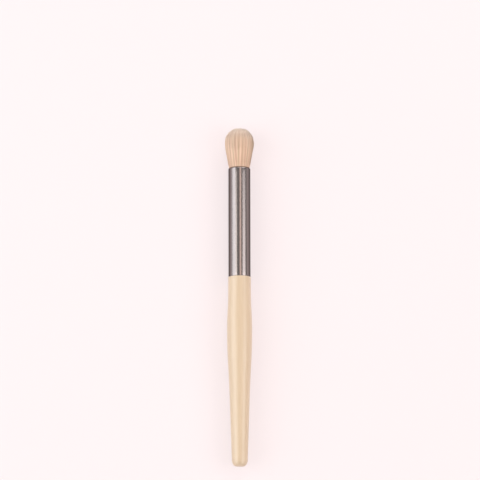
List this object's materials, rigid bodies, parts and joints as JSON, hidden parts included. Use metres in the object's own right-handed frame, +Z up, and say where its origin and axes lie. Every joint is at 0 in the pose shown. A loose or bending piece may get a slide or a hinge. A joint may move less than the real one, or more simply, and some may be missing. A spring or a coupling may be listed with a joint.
{
  "type": "eyeshadow brush",
  "caption": "Eyeshadow brush with a slim turned wooden handle, a straight polished metal ferrule and a full domed head of soft hair for blending colour on the eyelid.",
  "frame": {"origin": "on the surface that the brush lies on, under the middle of its length and of its width", "axes": "+X along the brush from the butt to the tip of the hair, +Z up from the surface"},
  "size_m": [0.155, 0.013, 0.013],
  "materials": {
    "lacquered_wood": "cream lacquer, semi-gloss",
    "plated_metal": "polished, dark nickel plating",
    "hair": "fine soft beige hair, cupped and combed straight",
    "thread": "wound waxed thread",
    "resin": "set epoxy, amber",
    "glue": "set glue, cream"
  },
  "bodies": {
    "root": {"handle": "lacquered_wood", "ferrule": "plated_metal", "hair_tuft": "hair", "root_tie": "thread", "root_resin_plug": "resin", "tenon_glue": "glue"}
  },
  "joints": []
}
